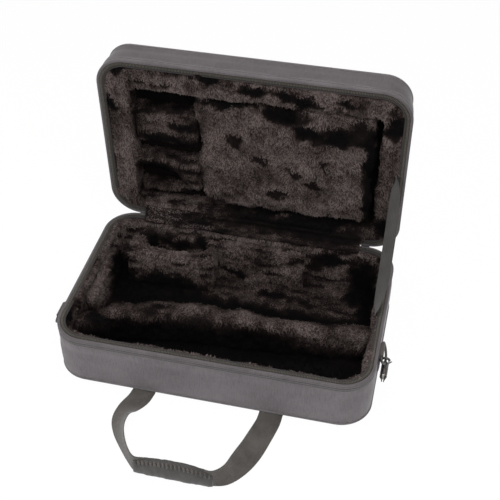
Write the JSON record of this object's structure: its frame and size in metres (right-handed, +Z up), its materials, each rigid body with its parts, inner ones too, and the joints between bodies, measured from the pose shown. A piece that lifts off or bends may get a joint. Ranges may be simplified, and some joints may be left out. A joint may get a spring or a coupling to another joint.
{
  "type": "cornet case",
  "caption": "Soft oblong cornet case with a zipped hinged lid, plush-lined fitted bays and pads, a stay strap, webbing carrying handles, end rings and a snap hook.",
  "frame": {"origin": "centre of the flat bottom of the base", "axes": "+X to the right along the length, +Y towards the back hinge, +Z up; the lid is stored standing open"},
  "size_m": [0.4621, 0.487, 0.3539],
  "materials": {
    "board": "stiff board, hidden between the cover and the foam",
    "nylon": "woven nylon, fine vertical weave, low sheen",
    "rim_band": "folded woven nylon with two stitch lines",
    "zip_tape": "woven zip tape",
    "zip_teeth": "coiled plastic teeth, slight sheen",
    "plush": "deep pile plush over foam, brushed patches",
    "webbing": "ribbed webbing, matt",
    "grip_cover": "padded cloth sleeve with coarse stitching",
    "black_wire": "black paint on round wire",
    "steel": "dull nickel-plated",
    "zip_slider": "black enamel"
  },
  "bodies": {
    "base": {"base_board": "board", "base_bottom_panel": "nylon", "base_side_cover": "nylon", "base_piping": "rim_band", "base_rim_band": "rim_band", "base_zip_tape": "zip_tape", "base_zip_teeth": "zip_teeth", "base_floor_pad": "plush", "base_wall_padding": "plush", "accessory_block": "plush", "back_pad": "plush", "left_bolster": "plush", "divider": "plush", "base_handle_tails": "webbing", "left_ring_tab": "webbing", "right_ring_tab": "webbing", "hinge_cloth": "nylon", "hinge_lining": "plush", "stay_strap": "webbing"},
    "lid": {"lid_board": "board", "lid_top_panel": "nylon", "lid_side_cover": "nylon", "lid_piping": "rim_band", "lid_rim_band": "rim_band", "lid_zip_tape": "zip_tape", "lid_zip_teeth": "zip_teeth", "lid_back_pad": "plush", "lid_border": "plush", "lid_cushion": "plush", "upper_pocket_block": "plush", "mouthpiece_rest": "plush", "lower_pocket_block": "plush", "lid_handle_tails": "webbing", "lid_handle_folds": "webbing"},
    "base_handle": {"base_handle_strap": "webbing", "base_grip": "grip_cover"},
    "lid_handle": {"lid_handle_strap": "webbing", "lid_grip": "grip_cover"},
    "left_ring": {"left_d_ring": "black_wire"},
    "right_ring": {"right_d_ring": "black_wire"},
    "hook": {"snap_hook": "black_wire"},
    "gate": {"hook_gate": "steel"},
    "eye": {"swivel_eye": "steel"},
    "webbing_end": {"strap_end": "webbing"},
    "left_slider": {"left_zip_slider": "zip_slider"},
    "right_slider": {"right_zip_slider": "zip_slider"},
    "left_pull": {"left_zip_pull": "zip_slider"},
    "right_pull": {"right_zip_pull": "zip_slider"}
  },
  "joints": [
    {"name": "lid_hinge", "type": "hinge", "parent": "base", "child": "lid", "pos_m": [0, 0.135, 0.081], "axis": [1, 0, 0], "range_deg": [0, 87.5], "deforming": ["hinge_cloth", "hinge_lining", "stay_strap"]},
    {"name": "base_handle_swing", "type": "hinge", "parent": "base", "child": "base_handle", "pos_m": [0, -0.1361, 0.0008], "axis": [-1, 0, 0], "range_deg": [0, 60]},
    {"name": "lid_handle_swing", "type": "hinge", "parent": "lid", "child": "lid_handle", "pos_m": [0, 0.1735, 0.34093], "axis": [1, 0, 0], "range_deg": [0, 150], "deforming": ["lid_handle_folds"]},
    {"name": "left_ring_swing", "type": "hinge", "parent": "base", "child": "left_ring", "pos_m": [-0.2196, -0.078, 0.071], "axis": [0, 1, 0], "range_deg": [-12, 110]},
    {"name": "right_ring_swing", "type": "hinge", "parent": "base", "child": "right_ring", "pos_m": [0.2196, -0.054, 0.071], "axis": [0, -1, 0], "range_deg": [0, 90]},
    {"name": "hook_swing", "type": "hinge", "parent": "right_ring", "child": "hook", "pos_m": [0.22575, -0.054, 0.05313], "axis": [0, -1, 0], "range_deg": [0, 50]},
    {"name": "gate_hinge", "type": "hinge", "parent": "hook", "child": "gate", "pos_m": [0.23035, -0.054, 0.04643], "axis": [0, -1, 0], "range_deg": [0, 22], "stiffness_Nm_per_rad": 0.002},
    {"name": "eye_swivel", "type": "hinge", "parent": "hook", "child": "eye", "pos_m": [0.22575, -0.054, 0.04033], "axis": [0, 0, 1], "range_deg": [-20, 20]},
    {"name": "webbing_end_swing", "type": "hinge", "parent": "eye", "child": "webbing_end", "pos_m": [0.22575, -0.054, 0.03173], "axis": [0, -1, 0], "range_deg": [-5, 60]},
    {"name": "left_slider_travel", "type": "slide", "parent": "base", "child": "left_slider", "axis": [1, 0, 0], "range_m": [0, 0.008]},
    {"name": "right_slider_travel", "type": "slide", "parent": "base", "child": "right_slider", "axis": [-1, 0, 0], "range_m": [0, 0.008]},
    {"name": "left_pull_swing", "type": "hinge", "parent": "left_slider", "child": "left_pull", "pos_m": [-0.1695, 0.1423, 0.07425], "axis": [1, 0, 0], "range_deg": [0, 80]},
    {"name": "right_pull_swing", "type": "hinge", "parent": "right_slider", "child": "right_pull", "pos_m": [0.1695, 0.1423, 0.07425], "axis": [1, 0, 0], "range_deg": [0, 80]}
  ]
}
